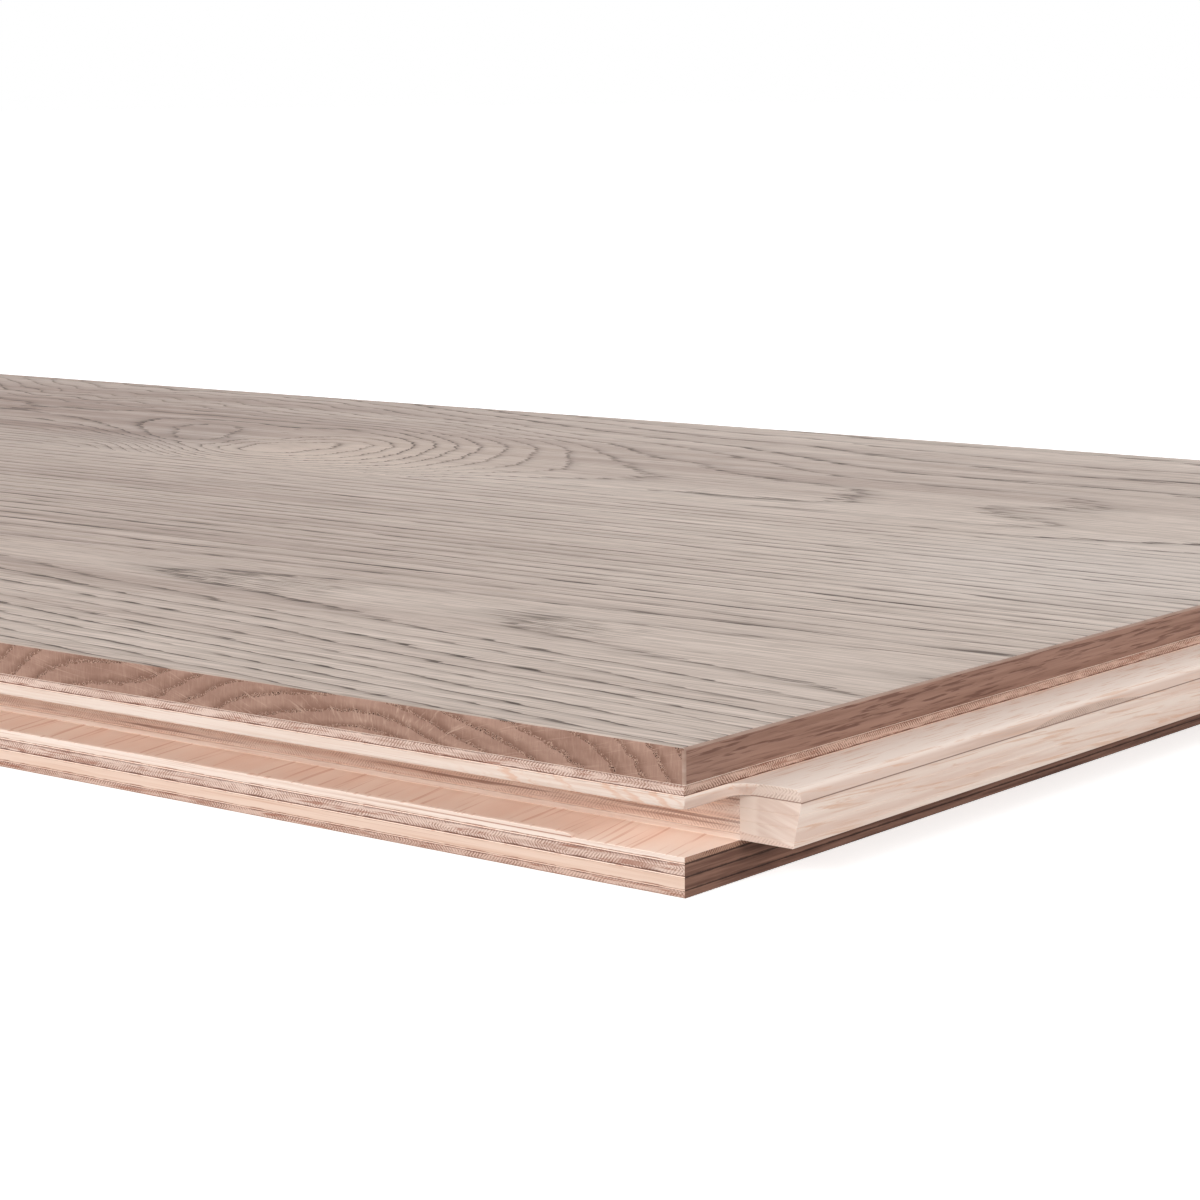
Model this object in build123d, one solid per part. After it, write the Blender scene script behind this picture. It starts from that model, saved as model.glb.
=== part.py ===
"""Engineered hardwood floorboard: an oak face on a plywood core, milled with a tongue and groove all round.

Lengths are in millimetres. The board lies flat with its oak face up: X runs along the length, Y across
the width and Z up from the back. The origin is the middle of the back, with the tongues left out.
The groove is on the -Y side and the -X end, the tongue on the +Y side and the +X end.
"""
from build123d import *
import math
import os

# Face of the board, measured without the tongues
board_length = 2200.0
board_width = 240.0

# Layers, from the oak face down to the back
oak_thickness = 3.7
top_ply_thickness = 1.14
inner_ply_thickness = 1.34
inner_ply_count = 7
bottom_ply_thickness = 0.78

# Oak edges are eased so that they don't splinter
oak_edge_ease = 0.3

# Tongue and groove
lip_thickness = 4.1
tongue_length = 7.5
groove_end_gap = 1.5
tongue_play = 0.3
nose_radius = 1.1
nose_lean_angle = 12.0
plies_over_side_groove = 2
plies_over_end_tongue = 1

# Low ridge along the mouth of the side groove, torn off near the corner
ridge_height = 0.4
ridge_width = 0.8
ridge_flank_angle = 45.0
torn_length = 14.3
torn_slope_length = 1.6

# How far a cutter runs past the edge that it opens
cutter_overrun = 2.0

# Heights of the layers above the back
core_plies = [top_ply_thickness] + [inner_ply_thickness] * inner_ply_count + [bottom_ply_thickness]
core_thickness = sum(core_plies)
board_thickness = core_thickness + oak_thickness


def underside_of_ply(number):
    """Height of the underside of a core ply, counted from 1 under the oak."""
    return core_thickness - sum(core_plies[:number])


# Faces of the blank, and the levels of the joint
end_face = board_length / 2
side_face = board_width / 2
groove_depth = tongue_length + groove_end_gap
side_groove_roof = underside_of_ply(plies_over_side_groove)
end_tongue_top = underside_of_ply(plies_over_end_tongue)
ridge_top = lip_thickness + ridge_height
side_tongue_bottom = ridge_top + tongue_play
end_groove_floor = lip_thickness - tongue_play


def tongue_profile(bottom, top):
    """Section of a tongue, from its root at 0 outwards: a rounded upper nose over a face that leans back."""
    nose_base = top - nose_radius
    nose_foot = tongue_length - (nose_base - bottom) * math.tan(math.radians(nose_lean_angle))
    nose_crest = tongue_length - nose_radius
    straights = Polyline((nose_crest, top), (0, top), (0, bottom), (nose_foot, bottom), (tongue_length, nose_base))
    nose = CenterArc((nose_crest, nose_base), nose_radius, 0, 90)
    return make_face([straights, nose])


def side_groove_cutter():
    """Groove of the -Y side, with the ridge left standing along its mouth."""
    mouth = -side_face
    back = mouth + groove_depth
    ridge_inside = mouth + ridge_width
    ridge_foot = ridge_inside + ridge_height / math.tan(math.radians(ridge_flank_angle))
    corners = [
        (mouth - cutter_overrun, ridge_top),
        (ridge_inside, ridge_top),
        (ridge_foot, lip_thickness),
        (back, lip_thickness),
        (back, side_groove_roof),
        (mouth - cutter_overrun, side_groove_roof),
    ]
    section = Plane.YZ * make_face(Polyline(*corners, close=True))
    return extrude(section, end_face + cutter_overrun, both=True)


def torn_ridge_cutter():
    """Piece of the ridge that has torn away at the +X end, running out in a slope."""
    torn_start = end_face - torn_length
    corners = [
        (torn_start - torn_slope_length, ridge_top),
        (torn_start, lip_thickness),
        (end_face + cutter_overrun, lip_thickness),
        (end_face + cutter_overrun, ridge_top),
    ]
    middle_of_groove = Plane.XZ.offset(side_face - groove_depth / 2)
    section = middle_of_groove * make_face(Polyline(*corners, close=True))
    return extrude(section, groove_depth / 2 + cutter_overrun)


def end_groove_cutter():
    """Groove of the -X end, which takes the end tongue of the next board."""
    mouth = -end_face - cutter_overrun
    back = -end_face + groove_depth
    reach = side_face + cutter_overrun
    return Pos((mouth + back) / 2, 0, (end_groove_floor + end_tongue_top) / 2) * Box(
        back - mouth, 2 * reach, end_tongue_top - end_groove_floor
    )


def end_tongue():
    """Tongue of the +X end. It stops level with the back of the side groove, which runs out past it."""
    section = Plane.XZ * tongue_profile(lip_thickness, end_tongue_top)
    start = -side_face + groove_depth
    return Pos(end_face, side_face, 0) * extrude(section, side_face - start)


def side_tongue():
    """Tongue of the +Y side. It stops level with the back of the end groove, which runs out past it."""
    section = Plane.YZ * tongue_profile(side_tongue_bottom, side_groove_roof)
    start = -end_face + groove_depth
    return Pos(start, side_face, 0) * extrude(section, end_face - start)


def milled_board():
    """Whole board as it leaves the moulder, before it is parted into its layers."""
    blank = Pos(0, 0, board_thickness / 2) * Box(board_length, board_width, board_thickness)
    grooved = blank - side_groove_cutter() - torn_ridge_cutter() - end_groove_cutter()
    return grooved + end_tongue() + side_tongue()


def layer(board, bottom, top):
    """One layer of the board, between two glue lines."""
    reach_x = board_length + 2 * (tongue_length + cutter_overrun)
    reach_y = board_width + 2 * (tongue_length + cutter_overrun)
    slab = Pos(0, 0, (bottom + top) / 2) * Box(reach_x, reach_y, top - bottom)
    return (board & slab).solid()


def oak_face(board):
    """Oak wear layer, with its upper edges and upright corners eased."""
    blank = layer(board, core_thickness, board_thickness)
    top_edges = blank.edges().group_by(Axis.Z)[-1]
    upright_edges = blank.edges().filter_by(Axis.Z)
    return fillet(top_edges + upright_edges, oak_edge_ease)


board = milled_board()
nodes = {"oak_face": oak_face(board)}
for number in range(1, len(core_plies) + 1):
    nodes[f"core_ply_{number}"] = layer(board, underside_of_ply(number), underside_of_ply(number - 1))

os.makedirs("parts", exist_ok=True)
for name, shape in nodes.items():
    shape.label = name
    export_step(shape, f"parts/{name}.step")
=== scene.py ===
import math
from functools import partial, reduce

import bmesh
import bpy
import numpy as np
from mathutils import Matrix, Vector


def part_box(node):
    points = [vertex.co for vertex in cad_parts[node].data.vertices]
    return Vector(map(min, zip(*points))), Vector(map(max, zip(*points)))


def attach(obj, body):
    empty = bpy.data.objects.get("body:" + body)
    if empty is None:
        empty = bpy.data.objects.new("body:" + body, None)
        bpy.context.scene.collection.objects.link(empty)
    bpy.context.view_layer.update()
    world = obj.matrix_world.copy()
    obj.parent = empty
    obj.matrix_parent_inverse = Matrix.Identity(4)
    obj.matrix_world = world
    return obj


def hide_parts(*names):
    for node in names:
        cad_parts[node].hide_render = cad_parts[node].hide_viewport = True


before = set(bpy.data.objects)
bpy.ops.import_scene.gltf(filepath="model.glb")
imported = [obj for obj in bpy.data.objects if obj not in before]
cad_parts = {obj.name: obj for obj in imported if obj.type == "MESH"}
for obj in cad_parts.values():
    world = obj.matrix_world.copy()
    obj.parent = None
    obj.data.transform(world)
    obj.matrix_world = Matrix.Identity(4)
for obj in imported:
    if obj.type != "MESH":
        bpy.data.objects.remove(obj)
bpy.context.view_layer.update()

# Plies that have a part in the joint, by number from the oak down
nose_ply = 2
tongue_plies = (3, 4, 5)
groove_ply = 6
back_ply = 9

# Levels and faces of the board, in metres, taken from the parts of model.glb
mm = 0.001
oak_low, oak_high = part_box("oak_face")
end_face = oak_high.x
side_face = oak_high.y
ply_boxes = {number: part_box(f"core_ply_{number}") for number in range(1, back_ply + 1)}
end_tongue_tip = ply_boxes[nose_ply][1].x
end_tongue_top = ply_boxes[nose_ply][1].z
tongue_seam = ply_boxes[nose_ply][0].z
end_groove_back = ply_boxes[nose_ply][0].x
side_tongue_tip = ply_boxes[tongue_plies[0]][1].y
side_tongue_top = ply_boxes[tongue_plies[0]][1].z
side_groove_back = ply_boxes[tongue_plies[0]][0].y

# Milled details of the joint
groove_floor = 4.1 * mm
end_groove_floor = 3.8 * mm
ridge_top = 4.5 * mm
ridge_width = 0.8 * mm
ridge_flank = 0.4 * mm
torn_length = 14.3 * mm
torn_slope = 1.6 * mm
torn_steps = 6
cutter_round_low = 2.2 * mm
cutter_round_high = 4.2 * mm
lip_tip_round = 0.8 * mm
nose_radius = 1.1 * mm
nose_lean = math.tan(math.radians(12.0))
oak_edge_ease = 0.3 * mm
ply_edge_ease = 0.05 * mm

# Places closer than this count as one
near_enough = 0.001 * mm

# Faces this far past the end of the board are part of the tongue
tongue_start = 0.01 * mm

# How much of a face's normal points along a direction
slightly = 0.1
partly = 0.3
mostly = 0.6
halfway = 0.7
squarely = 0.9
nearly_all = 0.95
fully = 0.98

# Grid that carries the ring numbers: most columns crowd into a fine stretch by the near end
ring_columns = 300
ring_rows = 200
fine_share = 0.64
fine_stretch = 440 * mm

# Layout for baking: lanes, heights of rows and gaps in pixels, and shares of the sheet or of a row
oak_lanes = 3
oak_lane_rows = {"top": 292, "near": 16, "far": 12, "under": 1}
oak_end_rows = {"tongue": 20, "tail": 12}
ply_lanes = 10
ply_lane_rows = {"near": 32, "far": 26, "top": 18, "under": 8}
back_lane_rows = {"near": 20, "far": 18, "top": 1, "under": 48}
ply_end_rows = {"tongue": 90, "tail": 24}
row_gap = 2
side_margin = 0.002
lip_share = 0.62
wall_share = 0.35
tongue_lap = 0.5 * mm


# Growth rings of the oak face, with places in millimetres from the near corner

# How far along the board the near and the far figure follow the photo
near_reach = 300
far_reach = 380

# Points along the rings of the far figure, by ring number
far_ring_lines = {
    5: [(-70, 233), (-85, 235), (-110, 234.5), (-140, 236.5), (-160, 239), (-190, 245)],
    4: [(-62, 221.5), (-75, 219), (-90, 219), (-110, 223.5), (-130, 226), (-150, 230), (-180, 233),
        (-200, 236)],
    3: [(-40, 207), (-58, 209.5), (-80, 207.5), (-100, 210.5), (-120, 214.5), (-140, 219.5), (-160, 222),
        (-180, 225), (-200, 230)],
    2: [(-22, 152), (-22, 165), (-40, 190), (-50, 195), (-60, 197), (-80, 196.5), (-105, 195.5),
        (-130, 203.5), (-150, 212), (-180, 218), (-200, 223)],
    1: [(-58, 152), (-66, 160), (-69, 168), (-63, 176), (-66, 182), (-80, 183), (-110, 186), (-120, 190),
        (-130, 195), (-150, 202.5), (-170, 209), (-200, 216), (-280, 152), (-260, 150.5)],
    0: [(-94, 161), (-100, 170.5), (-110, 175.5), (-130, 180.5), (-140, 186), (-160, 194.5), (-180, 205),
        (-200, 211), (-107, 157), (-120, 156), (-140, 152), (-165, 149)],
    -1: [(-280, 157.5), (-260, 155), (-250, 153), (-300, 230), (-280, 229)],
    -2: [(-157, 165), (-160, 175), (-172, 190), (-185, 199), (-210, 208), (-240, 214), (-280, 224),
         (-340, 224), (-360, 234)],
    -4: [(-280, 166), (-260, 160.5), (-250, 157), (-280, 214), (-320, 214), (-340, 214), (-360, 224),
         (-380, 235)],
    -5: [(-179, 155), (-180, 165), (-184, 178), (-194, 190), (-210, 199), (-240, 205)],
    -7: [(-320, 186), (-300, 182.5), (-280, 177), (-260, 167), (-245, 161), (-300, 194.5), (-280, 199),
         (-262, 199), (-345, 203)],
    -8: [(-194, 165), (-197, 175), (-208, 187), (-230, 195), (-276, 188), (-265, 174), (-256, 168),
         (-270, 191), (-258, 193), (-245, 191), (-236, 184), (-234, 175), (-237, 166), (-241, 160)],
    -9: [(-262, 184), (-258, 177), (-250, 170), (-245, 165), (-258, 188), (-250, 185), (-245, 178),
         (-241, 168)],
    -9.7: [(-254, 181), (-247, 172)],
    -11: [(-212, 166), (-218, 176), (-228, 168), (-221, 158)],
}

# Browned places of the face: strength, middle along and across, and reach along and across.
# A strength below nothing paints a pale, cool sheen on a place instead.
browned_and_sheen_places = [
    (0.85, -365, 190, 165, 70),
    (0.42, -150, 58, 105, 45),
    (0.2, -50, 195, 90, 45),
    (0.4, -205, 114, 75, 16),
    (0.2, -130, 188, 80, 30),
    (0.2, -273, 166, 40, 14),
    # Painted sheen by the near end
    (-0.25, -25, 122, 45, 45),
]

# Tips of the near arches, where pores crowd: strength, middle and reach as above
crowded_tips = [
    (1.2, -111, 51, 17, 6),
    (1.0, -53, 46, 9, 5),
]

# The eye of the far figure: a warm place and a dull one, whose strength is below nothing
tinted_places = [
    (1.0, -205, 166, 36, 24),
    (-1.0, -252, 164, 22, 16),
]


def slow_wave(along, length, start):
    return np.sin(2 * np.pi * (along / length + start))


def patch(x, y, middle_x, middle_y, reach_x, reach_y):
    """A soft round patch, 1 in the middle and 0 well outside."""
    return np.exp(-((x - middle_x) / reach_x) ** 2 - ((y - middle_y) / reach_y) ** 2)


def patches(x, y, places):
    """Soft patches added up, each with its own strength."""
    return sum(strength * patch(x, y, *place) for strength, *place in places)


def past_photo(x, reach, length):
    """0 where the photo is followed, rising to 1 over a length beyond that reach."""
    return np.clip(-(x + reach) / length, 0, 1)


def arches(y, heart, roundness, ring_width):
    """Ring numbers of arches nested round a heart line."""
    return (np.hypot(y - heart, roundness) - roundness) / ring_width


def near_figure(x, y):
    """Ring number on the near half, whose heart line drifts along the board."""
    free = past_photo(x, near_reach, 300)
    in_photo = np.maximum(x, -near_reach)
    heart = 44 - 0.065 * in_photo + free * (8 * slow_wave(x + near_reach, 1150, 0) - 9)
    lift = -2 - 0.0165 * in_photo + free * 2.6 * slow_wave(x + near_reach, 830, 0.12)
    return lift + arches(y, heart, roundness=21, ring_width=3.0)


def plain_far_figure(x, y):
    """Ring number of the far figure away from its eyes."""
    free = past_photo(x, far_reach, 300)
    heart = 172 + free * 14 * slow_wave(x + far_reach, 990, 0.5)
    lift = free * 3.5 * slow_wave(x + far_reach, 760, 0.03)
    return lift + arches(y, heart, roundness=20, ring_width=4.5)


def plate_kernel(x, y, knot_x, knot_y):
    """How a thin plate bends round a knot. Lengths count for less than widths."""
    length_share = 0.6
    above_zero = 1e-9
    squared = (length_share * (x - knot_x)) ** 2 + (y - knot_y) ** 2 + above_zero
    return squared * np.log(squared)


def fitted_far_figure():
    """A thin plate bent through the ring lines, over the plain figure, as a function of the place."""
    stiffness = 12
    points = np.array([(x, y, ring) for ring, line in far_ring_lines.items() for x, y in line])
    knot_x, knot_y, ring = points.T
    bend = plate_kernel(knot_x[:, None], knot_y[:, None], knot_x, knot_y) + stiffness * np.eye(len(ring))
    tilt = np.column_stack([np.ones_like(ring), knot_x, knot_y])
    system = np.block([[bend, tilt], [tilt.T, np.zeros((3, 3))]])
    wanted = np.concatenate([ring - plain_far_figure(knot_x, knot_y), np.zeros(3)])
    weights = np.linalg.solve(system, wanted)

    def ring_number(x, y):
        plate = weights[-3] + weights[-2] * x + weights[-1] * y
        for share, at_x, at_y in zip(weights, knot_x, knot_y):
            plate = plate + share * plate_kernel(x, y, at_x, at_y)
        ripple = 0.45 * slow_wave(x, 19, 0) * patch(x, y, -310, 218, 45, 18)
        fade = np.clip((x + 470) / 80, 0, 1)
        return plain_far_figure(x, y) + fade * plate + ripple

    return ring_number


def seam_between_figures(x):
    """Where the near figure gives way to the far one, across the width."""
    free = past_photo(x, near_reach, 200)
    return 145 - 4 * np.clip((x + 120) / 100, 0, 1) + free * 10 * slow_wave(x + near_reach, 1400, 0)


# Meshes

def meets(value, place):
    return abs(value - place) < near_enough


def box_blank(low, high):
    """A plain block between two corners."""
    blank = bmesh.new()
    bmesh.ops.create_cube(blank, size=1.0)
    low = Vector(low)
    high = Vector(high)
    bmesh.ops.scale(blank, vec=high - low, verts=blank.verts)
    bmesh.ops.translate(blank, vec=(low + high) / 2, verts=blank.verts)
    return blank


def scribe(blank, axis, place):
    """Cuts a line right round a blank at a place along an axis."""
    along = Vector((0, 0, 0))
    along["xyz".index(axis)] = 1
    bmesh.ops.bisect_plane(blank, geom=blank.verts[:] + blank.edges[:] + blank.faces[:],
                           dist=0.1 * near_enough, plane_co=along * place, plane_no=along)


def faces_looking(blank, direction, keep=lambda middle: True):
    """Flat faces that look one way and whose middles pass a test."""
    direction = Vector(direction)
    blank.normal_update()
    return [face for face in blank.faces
            if face.normal.dot(direction) > squarely and keep(face.calc_center_median())]


def draw_out(blank, faces, travel):
    """Extrudes faces by a travel and returns the vertices at the far end."""
    grown = bmesh.ops.extrude_face_region(blank, geom=faces)["geom"]
    bmesh.ops.delete(blank, geom=faces, context="FACES_KEEP_BOUNDARY")
    moved = [part for part in grown if isinstance(part, bmesh.types.BMVert)]
    bmesh.ops.translate(blank, vec=travel, verts=moved)
    return moved


def ease(blank, geometry, width, segments, affect="EDGES"):
    """Rounds edges or corners of a blank. One segment gives a flat chamfer."""
    bmesh.ops.bevel(blank, geom=geometry, offset=width, offset_type="OFFSET", affect=affect,
                    segments=segments, profile=0.5, material=-1, clamp_overlap=True)


def sharp_edges(blank, least_angle=math.radians(40)):
    blank.normal_update()
    return [edge for edge in blank.edges if edge.is_manifold and edge.calc_face_angle() > least_angle]


def lean_back(moved, axis, tip, top):
    """Brings the face of a tongue out to its tip, leaning back under the rounded nose."""
    for vert in moved:
        vert.co[axis] = tip - max(0, top - nose_radius - vert.co.z) * nose_lean


def edges_where(blank, keep):
    """Edges whose two ends both pass a test."""
    return [edge for edge in blank.edges if all(keep(vert.co) for vert in edge.verts)]


def round_nose(blank, axis, place, level):
    """Rounds the upper edge of a tongue."""
    crest = edges_where(blank, lambda at: meets(at[axis], place) and meets(at.z, level))
    ease(blank, crest, nose_radius, 8)


def tongue_top_ply():
    """Second veneer: lower half of the upper lip, and the rounded top of the end tongue."""
    low, high = ply_boxes[nose_ply]
    ply = box_blank(low, (end_face, high.y, high.z))
    scribe(ply, "y", side_groove_back)
    root = faces_looking(ply, (1, 0, 0), lambda middle: middle.y > side_groove_back)
    moved = draw_out(ply, root, (end_tongue_tip - end_face, 0, 0))
    lean_back(moved, 0, end_tongue_tip, end_tongue_top)
    round_nose(ply, 0, end_tongue_tip, high.z)
    leave_cutter_round(ply)
    corner = Vector((end_face, -side_face, low.z))
    lip_tip = [vert for vert in ply.verts if meets((vert.co - corner).length, 0)]
    ease(ply, lip_tip, lip_tip_round, 5, "VERTICES")
    return ply


def leave_cutter_round(ply):
    """Leaves the round of the cutter in the corner between the upper lip and the near end of the tongue."""
    corner = edges_where(ply, lambda at: meets(at.x, end_face) and meets(at.y, side_groove_back))
    ease(ply, corner, cutter_round_low, 8)
    for vert in ply.verts:
        beyond = vert.co.x - end_face
        beside_tongue = vert.co.y < side_groove_back + near_enough
        on_round = beside_tongue and near_enough < beyond < cutter_round_low + near_enough
        if on_round and vert.co.z > end_tongue_top - near_enough:
            vert.co.x = end_face + beyond * cutter_round_high / cutter_round_low


def tongue_core_ply(number):
    """Third to fifth veneers: back wall of the side groove, and both tongues."""
    low, high = ply_boxes[number]
    ply = box_blank(low, (end_face, side_face, high.z))
    end = faces_looking(ply, (1, 0, 0))
    lean_back(draw_out(ply, end, (mm, 0, 0)), 0, end_tongue_tip, end_tongue_top)
    side = faces_looking(ply, (0, 1, 0), lambda middle: middle.x < end_face)
    lean_back(draw_out(ply, side, (0, mm, 0)), 1, side_tongue_tip, side_tongue_top)
    if number == tongue_plies[0]:
        round_nose(ply, 1, side_tongue_tip, high.z)
    return ply


def groove_floor_ply():
    """Sixth veneer: floor of the side groove with its torn ridge, and the foot of the end tongue."""
    low, high = ply_boxes[groove_ply]
    ply = box_blank((-end_face, -side_face, low.z), (end_face, side_face, end_groove_floor))
    torn_foot = end_face - torn_length
    ridge_inside = -side_face + ridge_width
    ridge_foot = ridge_inside + ridge_flank
    scribe(ply, "x", end_groove_back)
    for place in (ridge_inside, ridge_foot, side_groove_back):
        scribe(ply, "y", place)
    for step in range(torn_steps + 1):
        scribe(ply, "x", torn_foot - torn_slope * step / torn_steps)
    above_end_groove = faces_looking(ply, (0, 0, 1), lambda middle: middle.x > end_groove_back)
    draw_out(ply, above_end_groove, (0, 0, groove_floor - end_groove_floor))
    tongue_foot = faces_looking(
        ply, (0, 0, 1), lambda middle: middle.y > side_groove_back and middle.x > end_groove_back)
    draw_out(ply, tongue_foot, (0, 0, high.z - groove_floor))
    root = faces_looking(ply, (1, 0, 0), lambda middle: middle.z > groove_floor)
    lean_back(draw_out(ply, root, (mm, 0, 0)), 0, end_tongue_tip, end_tongue_top)
    for vert in ply.verts:
        on_ridge = vert.co.y < ridge_inside + near_enough and meets(vert.co.z, groove_floor)
        if on_ridge and vert.co.x < torn_foot - near_enough:
            gone = 1 - min(1, (torn_foot - vert.co.x) / torn_slope)
            vert.co.z = groove_floor + (ridge_top - groove_floor) * math.sqrt(1 - gone ** 2)
    return ply


def ply_blank(number):
    """A veneer as it is milled, by its number from the oak down."""
    if number == nose_ply:
        return tongue_top_ply()
    if number in tongue_plies:
        return tongue_core_ply(number)
    if number == groove_ply:
        return groove_floor_ply()
    return box_blank(*ply_boxes[number])


def oak_blank():
    """Oak wear layer with eased edges and corners, gridded so that it can carry the ring numbers."""
    oak = box_blank(oak_low, oak_high)
    upper = edges_where(oak, lambda at: meets(at.z, oak_high.z))
    upright = [edge for edge in oak.edges if abs(edge.verts[0].co.z - edge.verts[1].co.z) > mm]
    ease(oak, upper + upright, oak_edge_ease, 4)
    cut_into_strips(oak, 0, end_face, ring_columns)
    cut_into_strips(oak, 1, side_face, ring_rows)
    crowd_columns(oak)
    join_underside(oak)
    cut_lanes(oak, oak_low.x, oak_high.x, oak_lanes)
    return oak


def cut_into_strips(blank, axis, least_span, strips):
    """Cuts the long edges that run along an axis, and the faces between them, into equal strips."""
    edges = [edge for edge in blank.edges
             if abs(edge.verts[0].co[axis] - edge.verts[1].co[axis]) > least_span]
    bmesh.ops.subdivide_edges(blank, edges=edges, cuts=strips - 1, use_grid_fill=True)


def crowd_columns(oak):
    """Moves most columns of the grid into the stretch by the near end, which carries the finest figure."""
    reach = end_face - oak_edge_ease
    for vert in oak.verts:
        if abs(vert.co.x) < reach - near_enough:
            share = (reach - vert.co.x) / (2 * reach)
            past = max(0, share - fine_share) / (1 - fine_share)
            from_end = fine_stretch * min(1, share / fine_share) + (2 * reach - fine_stretch) * past
            vert.co.x = reach - from_end


def join_underside(oak):
    """Joins the cells of each strip on the glued underside, which carries no rings."""
    oak.normal_update()
    seams = [edge for edge in oak.edges
             if all(face.normal.z < -fully for face in edge.link_faces)
             and meets(edge.verts[0].co.y, edge.verts[1].co.y)]
    bmesh.ops.dissolve_edges(oak, edges=seams, use_verts=True)


def finished(name, blank, finishes, node):
    """Turns a blank into a piece of the board."""
    bmesh.ops.recalc_face_normals(blank, faces=blank.faces)
    mesh = bpy.data.meshes.new(name)
    blank.to_mesh(mesh)
    blank.free()
    mesh.shade_smooth()
    mesh.set_sharp_from_angle(angle=math.radians(30))
    for finish in finishes:
        mesh.materials.append(finish)
    piece = bpy.data.objects.new(name, mesh)
    bpy.context.scene.collection.objects.link(piece)
    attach(piece, "root")
    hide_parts(node)
    return piece


def rings_per_mm(figure, x, y):
    """How fast the ring number changes across a place."""
    along = figure(x + 0.5, y) - figure(x - 0.5, y)
    across = figure(x, y + 0.5) - figure(x, y - 0.5)
    return np.hypot(along, across)


def write_rings(piece):
    """Stores on the oak the ring numbers of both figures, how close their rings lie, its tints, its browning
    and a painted sheen.
    """
    mesh = piece.data
    places = np.zeros(len(mesh.vertices) * 3)
    mesh.vertices.foreach_get("co", places)
    places = places.reshape(-1, 3)
    x = (places[:, 0] - end_face) / mm
    y = (places[:, 1] + side_face) / mm
    far_figure = fitted_far_figure()
    past_seam = y - seam_between_figures(x)
    plain_band = np.exp(-((y - 113) / 27) ** 4)
    boldness = 1 - 0.08 * plain_band + patches(x, y, crowded_tips)
    tint = patches(x, y, tinted_places)
    free = past_photo(x, far_reach, 260)
    # Browning along the board and in places; below nothing it is a painted sheen
    browning_and_sheen = free * (0.45 + 0.22 * slow_wave(x + 2 * y, 930, 0.35)) + patches(x, y, browned_and_sheen_places)
    store_vector(mesh, "rings", near_figure(x, y), far_figure(x, y), past_seam)
    store_vector(mesh, "ring_pace", rings_per_mm(near_figure, x, y), rings_per_mm(far_figure, x, y), boldness)
    store_vector(mesh, "tints_and_sheen", np.maximum(tint, 0), np.maximum(-tint, 0), browning_and_sheen)


def store_vector(mesh, name, *columns):
    attribute = mesh.attributes.new(name, "FLOAT_VECTOR", "POINT")
    attribute.data.foreach_set("vector", np.column_stack(columns).astype(np.float32).ravel())


def write_through(piece, low, high):
    """Stores how far up through its veneer each point lies, from 0 to 1."""
    mesh = piece.data
    attribute = mesh.attributes.new("through", "FLOAT", "POINT")
    values = [(vert.co.z - low) / (high - low) for vert in mesh.vertices]
    attribute.data.foreach_set("value", values)


# Layout for baking: the length is folded into lanes, and each lane has a row for every way that faces look

def cut_lanes(blank, low, high, lanes):
    """Cuts a blank across its length where its lanes part."""
    for lane in range(1, lanes):
        scribe(blank, "x", low + (high - low) * lane / lanes)


def row_of(face):
    """The row that a face lies in."""
    normal = face.normal
    past_end = face.center.x - end_face
    if (normal.x > partly and past_end > -tongue_lap) or (normal.z > partly and past_end > 0):
        return "tongue"
    if normal.x < -mostly:
        return "tail"
    if abs(normal.z) > mostly:
        return "top" if normal.z > 0 else "under"
    return "far" if normal.y > 0 else "near"


def stack_rows(rows, down):
    """Where each row starts, counted down from the top of the sheet, and where the next one would."""
    starts = {}
    for row, height in rows.items():
        starts[row] = down
        down += height + row_gap
    return starts, down


def lay_out(piece, lanes, lane_rows, end_rows):
    """Gives a piece its map for baking. The two ends lie below the lanes."""
    mesh = piece.data
    low, high = (Vector(piece.bound_box[corner]) for corner in (0, 6))
    span = high - low
    lane_starts, lane_height = stack_rows(lane_rows, 0)
    end_starts, sheet_height = stack_rows(end_rows, lane_height * lanes)
    starts = {**lane_starts, **end_starts}
    heights = {**lane_rows, **end_rows}
    tongue_span = high.x - end_face + tongue_lap + span.z
    layer = mesh.uv_layers.new(name="OFBake")
    for face in mesh.polygons:
        row = row_of(face)
        set_back = face.center.y > low.y + mm
        lane = min(int((face.center.x - low.x) / span.x * lanes), lanes - 1)
        for corner in face.loop_indices:
            place = mesh.vertices[mesh.loops[corner].vertex_index].co - low
            across = place.y / span.y if row in ("top", "under") else place.z / span.z
            along = place.x / span.x * lanes - lane
            down = starts[row]
            if row == "near":
                across = 1 - wall_share + wall_share * across if set_back else lip_share * across
            if row == "tongue":
                past_root = place.x + low.x - end_face + tongue_lap
                across = (past_root + span.z - place.z) / tongue_span
            if row in lane_rows:
                down += lane * lane_height
            else:
                along = place.y / span.y
            down += row_gap / 2 + across * heights[row]
            layer.uv[corner].vector = (side_margin + (1 - 2 * side_margin) * along, 1 - down / sheet_height)


# Shader wiring: a socket knows the tree that it is in, so what is made from sockets goes into the same tree

def feed_socket(socket, feed):
    """Links a socket to another one or gives it a plain value."""
    if isinstance(feed, bpy.types.NodeSocket):
        socket.id_data.links.new(feed, socket)
    else:
        socket.default_value = feed


def wire(tree, kind, *feeds, **settings):
    """Adds a node, sets its properties and feeds its inputs in order. None leaves an input as it is."""
    made = tree.nodes.new(kind)
    for name, value in settings.items():
        setattr(made, name, value)
    for socket, feed in zip(made.inputs, feeds):
        if feed is not None:
            feed_socket(socket, feed)
    return made


def tree_of(feeds):
    """The tree that the sockets among some feeds are in."""
    return next(feed.id_data for feed in feeds if isinstance(feed, bpy.types.NodeSocket))


def worked(operation, *feeds):
    return wire(tree_of(feeds), "ShaderNodeMath", *feeds, operation=operation).outputs[0]


def less(value, taken):
    return worked("SUBTRACT", value, taken)


def sum_of(*feeds):
    return reduce(partial(worked, "ADD"), feeds)


def product(*feeds):
    return reduce(partial(worked, "MULTIPLY"), feeds)


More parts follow.
